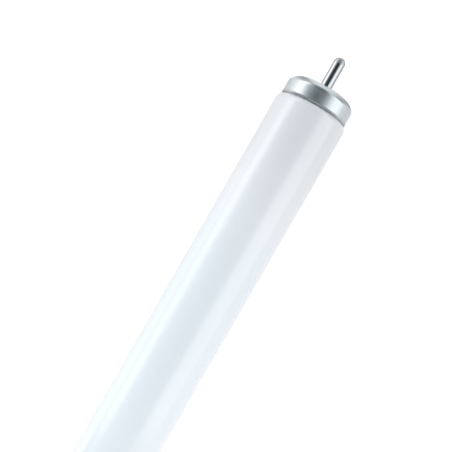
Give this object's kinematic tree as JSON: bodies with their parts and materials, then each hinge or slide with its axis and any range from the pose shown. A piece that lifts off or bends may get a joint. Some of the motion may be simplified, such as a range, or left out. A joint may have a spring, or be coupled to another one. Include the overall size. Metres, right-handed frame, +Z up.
{
  "type": "fluorescent tube",
  "caption": "Straight fluorescent tube: opaque white coated glass bulb, thin drawn aluminium end caps and a domed round contact pin standing out of each end.",
  "frame": {"origin": "under the middle of the tube, on the plane that it lies on; the tube's axis runs 19 mm above it", "axes": "+X along the tube towards the end whose nodes end in _a, +Z up, +Y across the tube"},
  "size_m": [0.6096, 0.038, 0.038],
  "materials": {
    "coated_glass": "clear polished glass over an opaque white powder coat on its inside",
    "cap_aluminium": "drawn sheet, satin, fine lines round the skirt",
    "insulator": "moulded phenolic, matt",
    "pin_plating": "bright nickel plate on brass",
    "solder": "dull tin solder",
    "cement": "baked basing cement, matt",
    "lead_wire": "drawn nickel wire"
  },
  "bodies": {
    "root": {"glass_tube": "coated_glass", "end_cap_a": "cap_aluminium", "insulator_disc_a": "insulator", "contact_pin_a": "pin_plating", "pin_solder_a": "solder", "cap_cement_a": "cement", "lead_wire_1_a": "lead_wire", "lead_wire_2_a": "lead_wire", "end_cap_b": "cap_aluminium", "insulator_disc_b": "insulator", "contact_pin_b": "pin_plating", "pin_solder_b": "solder", "cap_cement_b": "cement", "lead_wire_1_b": "lead_wire", "lead_wire_2_b": "lead_wire"}
  },
  "joints": []
}
